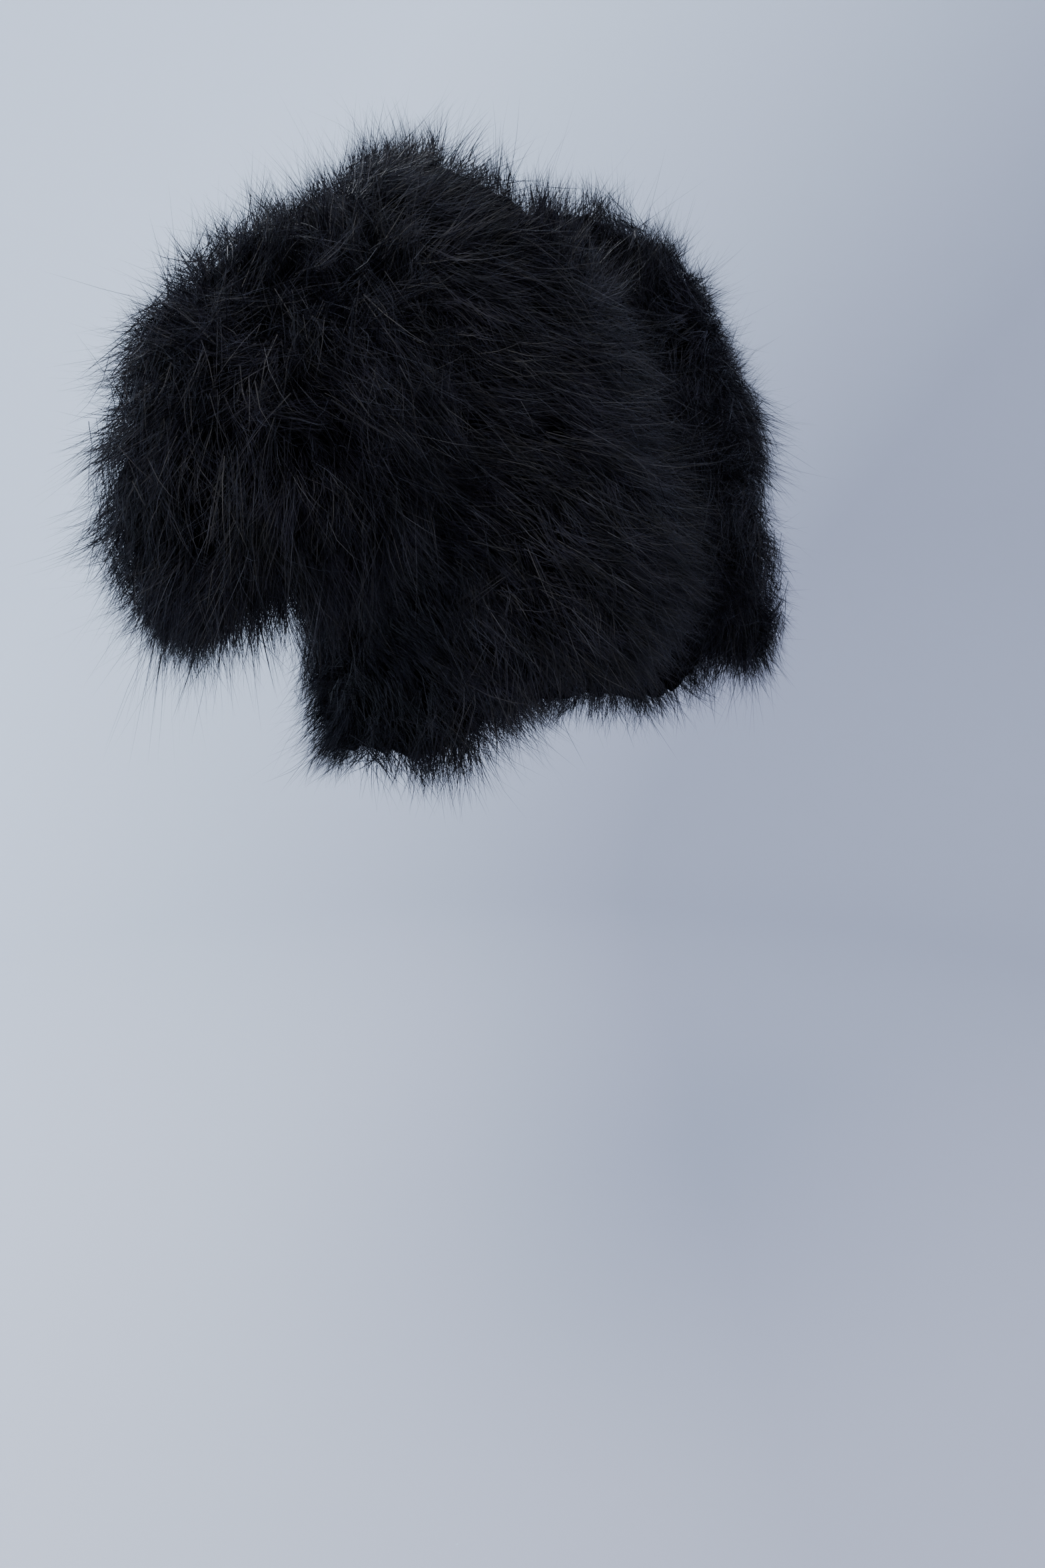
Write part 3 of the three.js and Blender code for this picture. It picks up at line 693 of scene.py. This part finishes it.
def feather_row(name, node, grids, pile_grids, seed, flow, sway, share, mirror):
    rng = np.random.default_rng(seed)
    barbs, wisps = lock_barbs(grids, rng, int(BARB_BUDGET * share), flow, sway)
    pile = pile_points(pile_grids, rng)
    lines, length = pile.shape[:2]
    first = 7 * np.arange(len(barbs))[:, None]
    quads = np.concatenate([first + np.array([0, 1, 3, 2]), first + np.array([2, 3, 5, 4])])
    triangles = first + np.array([4, 5, 6])
    pile_quads = grid_quads(lines, length, 7 * len(barbs))
    points = np.concatenate([barbs.reshape(-1, 3), pile.reshape(-1, 3)])
    if mirror:
        points = points * np.array([-1, 1, 1])
    quads = np.concatenate([quads, pile_quads])
    made = mesh_object(name, placed(points), quads, triangles, [BARBS, WISPS, PILE_PAINTED_SHADE])
    of_barb = wisps.astype(np.int32)
    index = np.concatenate([of_barb, of_barb, np.full(len(pile_quads), 2), of_barb]).astype(np.int32)
    made.data.polygons.foreach_set("material_index", index)
    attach(made, "root")
    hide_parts(node)


def front_flow(root, out, along):
    """On the fronts the barbs lie towards the front edge, and more steeply down near the hem."""
    low = smoothstep(root[:, 2], -90, -300)
    return along * each(lerp(1.0, 0.4, low)) + down_along(out) * each(lerp(0.7, 1.0, low))


def edge_flow(root, out, along):
    """The row at the front edge lies over it, and stands up where it becomes the neckline."""
    high = smoothstep(root[:, 2], -120, -30)
    over = lerp(along, UP, each(high))
    return over + down_along(out) * each(lerp(0.9, 0, high))


def back_flow(root, out, along):
    return down_along(out) + 0.35 * out


def neck_flow(root, out, along):
    return UP + 0.6 * out


def sleeve_flow(root, out, along):
    low = smoothstep(root[:, 2], -50, -150)
    return lerp(out * 0.6 + UP * 0.3, down_along(out) + 0.6 * out, each(low))


# Rows: the grid's places from low to high and the valleys it shares there, how far its locks reach
# over its neighbours, how the barbs flow and how much they sway
Row = namedtuple("Row", "name make low high low_valley high_valley over flow sway")
ROWS = [
    Row("front_row_side", front_grid, 0, 0.4, False, True, 0.05, front_flow, 0.22),
    Row("front_row_middle", front_grid, 0.4, EDGE_ROW_FROM, True, True, 0.05, front_flow, 0.22),
    Row("front_row_edge", front_grid, EDGE_ROW_FROM, 1, True, False, 0.05, edge_flow, 0.22),
    Row("back_row_hem", back_grid, 0, 0.3, False, True, 0.03, back_flow, 0.22),
    Row("back_row_lower", back_grid, 0.3, 0.58, True, True, 0.03, back_flow, 0.22),
    Row("back_row_upper", back_grid, 0.58, 0.86, True, True, 0.03, back_flow, 0.22),
    Row("back_row_neck", back_grid, 0.86, 1, True, False, 0.03, neck_flow, 0.3),
    Row("sleeve_row_cap", sleeve_grid, 0, 0.5, False, True, 0.06, sleeve_flow, 0.42),
    Row("sleeve_row_cuff", sleeve_grid, 0.5, 1, True, False, 0.06, sleeve_flow, 0.26),
]
SIDES = [("left_", LEFT_FRONT, False), ("right_", RIGHT_FRONT, True)]


def lock_grids(row, face):
    low = row.low - (row.over if row.low_valley else 0)
    high = row.high + (row.over if row.high_valley else 0)
    return row.make(face, low, high, row.make is sleeve_grid and row.low_valley, False)


def add_feathers():
    pieces = []
    for row in ROWS:
        for side, face, mirror in SIDES if row.make is not back_grid else [("", BACK, False)]:
            pieces.append((row, side + row.name, face, mirror, lock_grids(row, face)))
    shares = [fullness(grids).sum() for *_, grids in pieces]
    for k, (row, node, face, mirror, grids) in enumerate(pieces):
        pile_grids = row.make(face, row.low, row.high, row.low_valley, row.high_valley)
        share = shares[k] / sum(shares)
        feather_row("down_" + node, node, grids, pile_grids, 100 + k, row.flow, row.sway, share, mirror)


# The base cloth: thin shells with soft creases
SHELL_INSIDE = 0.4
SHELL_THICKNESS = 1.2
PANEL_WIDTH = 170
PANEL_LENGTH = 300
SLEEVE_LENGTH = 120
SLEEVE_ROUND = 62

# Creases: where the middle lies on the panel, its direction in degrees from straight up, and its
# length, width and depth
FRONT_CREASES = [
    (0.1, 0.42, -38, 90, 9, 1.6),
    (0.3, 0.22, -8, 120, 12, 1.2),
    (0.62, 0.34, 14, 80, 8, 0.9),
    (0.22, 0.72, -52, 60, 7, 1.3),
    (0.7, 0.66, -20, 70, 10, 0.8),
]
BACK_CREASES = [
    (0.08, 0.4, -34, 100, 9, 1.7),
    (0.34, 0.16, -6, 90, 13, 1.1),
    (0.7, 0.3, 10, 130, 11, 0.9),
    (0.26, 0.74, -58, 70, 8, 1.2),
    (0.86, 0.62, 4, 80, 9, 0.8),
]
SLEEVE_CREASES = [
    (-2.5, 0.3, 24, 60, 8, 1.4),
    (2.2, 0.34, -20, 52, 7, 1.2),
    (-0.9, 0.6, 8, 70, 9, 0.9),
    (0.8, 0.52, -14, 62, 8, 1.0),
    (2.9, 0.7, 6, 40, 7, 1.1),
]


def crease_depth(creases, a, b, a_size, b_size):
    depth = 0 * a
    for middle_a, middle_b, degrees, length, width, deep in creases:
        across, up = (a - middle_a) * a_size, (b - middle_b) * b_size
        turned = math.radians(degrees)
        along = up * math.cos(turned) + across * math.sin(turned)
        aside = across * math.cos(turned) - up * math.sin(turned)
        depth = depth + deep * np.exp(-((aside / width) ** 2) - (along / (0.6 * length)) ** 4)
    return depth


def shell(name, node, inner, outer, closed, flat, area, mirror):
    """A thin closed wall between two grids of points. A closed one runs all the way round."""
    lines, length = inner.shape[:2]
    points = np.concatenate([inner.reshape(-1, 3), outer.reshape(-1, 3)])
    top = lines * length
    quads = [grid_quads(lines, length)[:, ::-1], grid_quads(lines, length, top)]
    edges = [np.arange(length), (lines - 1) * length + np.arange(length)]
    if not closed:
        edges += [np.arange(lines) * length, np.arange(lines) * length + length - 1]
    for edge in edges:
        low = edge[:-1]
        high = edge[1:]
        quads.append(np.stack([low, high, high + top, low + top], -1))
    if mirror:
        points = points * np.array([-1, 1, 1])
    made = mesh_object(name, placed(points), np.concatenate(quads), np.empty((0, 3), int), [CLOTH])
    mesh = made.data
    tool = bmesh.new()
    tool.from_mesh(mesh)
    bmesh.ops.remove_doubles(tool, verts=tool.verts, dist=1e-5)
    bmesh.ops.recalc_face_normals(tool, faces=tool.faces)
    tool.to_mesh(mesh)
    tool.free()
    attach(made, "root")
    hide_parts(node)


def add_cloth():
    across, rise = np.meshgrid(np.linspace(0.002, 1, 41), np.linspace(0, 0.998, 61))
    inside = SHELL_INSIDE - crease_depth(FRONT_CREASES, across, rise, PANEL_WIDTH, PANEL_LENGTH)
    for (side, face, mirror), area in zip(SIDES, (0.0456, 0.0434)):
        point, _, out = body_frame(face, across, rise)
        grids = point + out * each(inside), point + out * each(inside + SHELL_THICKNESS)
        shell(f"cloth_{side}front", f"{side}front", *grids, False, (0.205, 0.338), area, mirror)
    whole, rise = np.meshgrid(np.linspace(-0.998, 0.998, 81), np.linspace(0, 0.998, 61))
    across = 1 - np.abs(whole)
    point, _, out = body_frame(BACK, across, rise)
    inside = SHELL_INSIDE - crease_depth(BACK_CREASES, across, rise, PANEL_WIDTH, PANEL_LENGTH)
    grids = point + out * each(inside), point + out * each(inside + SHELL_THICKNESS)
    for grid in grids:
        grid[..., 0] *= np.where(whole < 0, -1, 1)
    shell("cloth_back", "back", *grids, False, (0.424, 0.377), 0.1286, False)
    along, turn = np.meshgrid(np.linspace(0, 1, 31), np.linspace(-math.pi, math.pi, 73))
    point, _, out = sleeve_frame(turn, along)
    depth = crease_depth(SLEEVE_CREASES, turn, along, SLEEVE_ROUND, SLEEVE_LENGTH)
    inside = SHELL_INSIDE - CLOTH_THICKNESS - depth
    grids = point + out * each(inside), point + out * each(inside + SHELL_THICKNESS)
    grids = [np.swapaxes(grid, 0, 1) for grid in grids]
    for side, _, mirror in SIDES:
        shell(f"cloth_{side}sleeve", f"{side}sleeve", *grids, True, (0.398, 0.227), 0.0484, mirror)


# The photograph's view, from the wearer's right and a little above
EYE = (-0.7645, -0.6107, -0.185)
VIEW_TURN = 55
VIEW_DROP = 13
PHOTO_HEIGHT = 2353
FOCAL_PIXELS = 1850
SENSOR = 36


def add_camera():
    data = bpy.data.cameras.new("camera")
    data.sensor_width = SENSOR
    data.lens = FOCAL_PIXELS / PHOTO_HEIGHT * SENSOR
    data.clip_start = 0.02
    data.clip_end = 50
    made = bpy.data.objects.new("camera", data)
    turn, drop = math.radians(VIEW_TURN), math.radians(VIEW_DROP)
    forward = Vector((
        math.sin(turn) * math.cos(drop), math.cos(turn) * math.cos(drop), -math.sin(drop)
    ))
    made.location = EYE
    made.rotation_mode = "QUATERNION"
    made.rotation_quaternion = forward.to_track_quat("-Z", "Y")
    bpy.context.scene.collection.objects.link(made)
    bpy.context.scene.camera = made


# The studio's backdrop has painted light: paler on the wearer's right and behind, with painted shade
# darkening it away from that side and lower down
PAINTED_LIGHT_SIDE = (-0.574, 0.819, 0.7)
FLOOR_Z = -1.15
FLOOR_RADIUS = 1.9
COVE_RADIUS = 0.9
WALL_HEIGHT = 3.6


def painted_light_sweep_material():
    material, nodes, links = node_material("pale_sweep")
    place = nodes.new("ShaderNodeTexCoord")
    towards = nodes.new("ShaderNodeVectorMath")
    towards.operation = "DOT_PRODUCT"
    towards.inputs[1].default_value = PAINTED_LIGHT_SIDE
    links.new(place.outputs["Object"], towards.inputs[0])
    spread = nodes.new("ShaderNodeMapRange")
    spread.inputs["From Min"].default_value = -FLOOR_RADIUS
    spread.inputs["From Max"].default_value = FLOOR_RADIUS
    links.new(towards.outputs["Value"], spread.inputs["Value"])
    # Painted light and shade on the backdrop: the grey end is painted shade, the pale blue end painted
    # light
    tone = ramp(nodes, links, spread.outputs["Result"], 0.2, (0.37, 0.38, 0.45), 0.75, (0.88, 0.94, 1.0))
    links.new(tone.outputs["Color"], nodes["Principled BSDF"].inputs["Base Color"])
    nodes["Principled BSDF"].inputs["Roughness"].default_value = 0.9
    return material


def add_stage():
    """A pale round studio: a floor that curves up into one wall all round the garment."""
    rounds = np.linspace(0, math.pi / 2, 14)
    radius = np.concatenate([[0.001], FLOOR_RADIUS + COVE_RADIUS * np.sin(rounds)])
    height = np.concatenate([[0], COVE_RADIUS * (1 - np.cos(rounds))])
    radius, height = np.append(radius, radius[-1]), np.append(height, WALL_HEIGHT)
    turn = np.linspace(0, TAU, 97)[:, None]
    points = np.stack([radius * np.cos(turn), radius * np.sin(turn), FLOOR_Z + height + 0 * turn], -1)
    sweep = painted_light_sweep_material()
    quads = grid_quads(*points.shape[:2])
    made = mesh_object("sweep", points.reshape(-1, 3), quads, np.empty((0, 3), int), [sweep])


def add_light(name, place, target, size, power, colour):
    data = bpy.data.lights.new(name, "AREA")
    data.shape = "DISK"
    data.size = size
    data.energy = power
    data.color = colour
    made = bpy.data.objects.new(name, data)
    made.location = place
    made.rotation_mode = "QUATERNION"
    made.rotation_quaternion = (Vector(target) - Vector(place)).to_track_quat("-Z", "Y")
    bpy.context.scene.collection.objects.link(made)


def add_lights():
    middle = (0, -0.06, -0.15)
    add_light("key", (-1.5, -0.5, 1.5), middle, 1.2, 60, (1.0, 0.98, 0.96))
    add_light("fill", (-0.4, -2.2, 0.5), middle, 1.8, 28, (0.92, 0.95, 1.0))
    add_light("rim", (0.9, 1.2, 1.1), middle, 1.0, 26, (0.93, 0.96, 1.0))
    world = bpy.data.worlds.new("soft_room")
    world.use_nodes = True
    world.node_tree.nodes["Background"].inputs["Color"].default_value = (0.62, 0.75, 1.0, 1)
    world.node_tree.nodes["Background"].inputs["Strength"].default_value = 1.35
    bpy.context.scene.world = world


add_camera()
add_stage()
add_lights()
add_cloth()
add_feathers()
